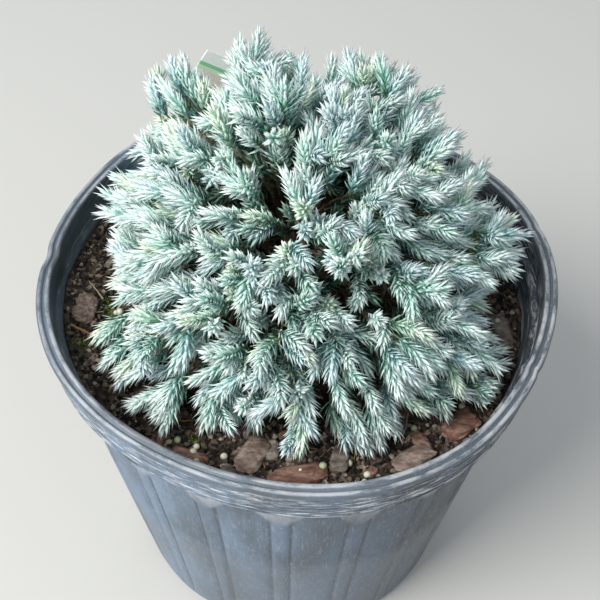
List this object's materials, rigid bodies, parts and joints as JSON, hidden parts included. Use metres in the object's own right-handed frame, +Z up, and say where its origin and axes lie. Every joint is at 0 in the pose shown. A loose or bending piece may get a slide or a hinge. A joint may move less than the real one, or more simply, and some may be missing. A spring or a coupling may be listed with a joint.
{
  "type": "potted dwarf juniper",
  "caption": "Low, dense mound of short silvery blue needles on a short trunk with spreading boughs, growing in a round ribbed nursery pot of potting mix with a blank plant label.",
  "frame": {"origin": "centre of the pot's flat underside, on the surface that it stands on", "axes": "+Z up along the pot's axis, +X to the right and +Y to the back of the plant as it is seen"},
  "size_m": [0.2809, 0.2799, 0.3497],
  "materials": {
    "pot_plastic": "weathered blue-grey moulded plastic with scuffed ridges",
    "potting_mix": "dark, crumbly potting mix",
    "bark_chip": "rough reddish-brown pine bark",
    "label_card": "smooth white plastic card",
    "juniper_bark": "thin flaking brown bark",
    "juniper_needles": "waxy silver-blue needles"
  },
  "bodies": {
    "root": {"pot": "pot_plastic", "soil": "potting_mix", "plant_label": "label_card", "trunk": "juniper_bark", "bark_chip_01": "bark_chip", "bark_chip_02": "bark_chip", "bark_chip_03": "bark_chip", "bark_chip_04": "bark_chip", "bark_chip_05": "bark_chip", "bark_chip_06": "bark_chip", "bark_chip_07": "bark_chip", "bark_chip_08": "bark_chip", "bark_chip_09": "bark_chip", "bough_front_left": "juniper_bark", "bough_front": "juniper_bark", "bough_front_right": "juniper_bark", "bough_right": "juniper_bark", "bough_back_right": "juniper_bark", "bough_back": "juniper_bark", "bough_back_left": "juniper_bark", "bough_left_back": "juniper_bark", "bough_left": "juniper_bark", "bough_upper_left": "juniper_bark", "bough_upper_front": "juniper_bark", "bough_upper_right": "juniper_bark", "bough_upper_back_right": "juniper_bark", "bough_upper_back_left": "juniper_bark", "bough_top_left": "juniper_bark", "bough_top_right": "juniper_bark", "foliage_front_left": "juniper_needles", "foliage_front": "juniper_needles", "foliage_front_right": "juniper_needles", "foliage_right": "juniper_needles", "foliage_back_right": "juniper_needles", "foliage_back": "juniper_needles", "foliage_back_left": "juniper_needles", "foliage_left_back": "juniper_needles", "foliage_left": "juniper_needles", "foliage_upper_left": "juniper_needles", "foliage_upper_front": "juniper_needles", "foliage_upper_right": "juniper_needles", "foliage_upper_back_right": "juniper_needles", "foliage_upper_back_left": "juniper_needles", "foliage_top_left": "juniper_needles", "foliage_top_right": "juniper_needles"}
  },
  "joints": []
}
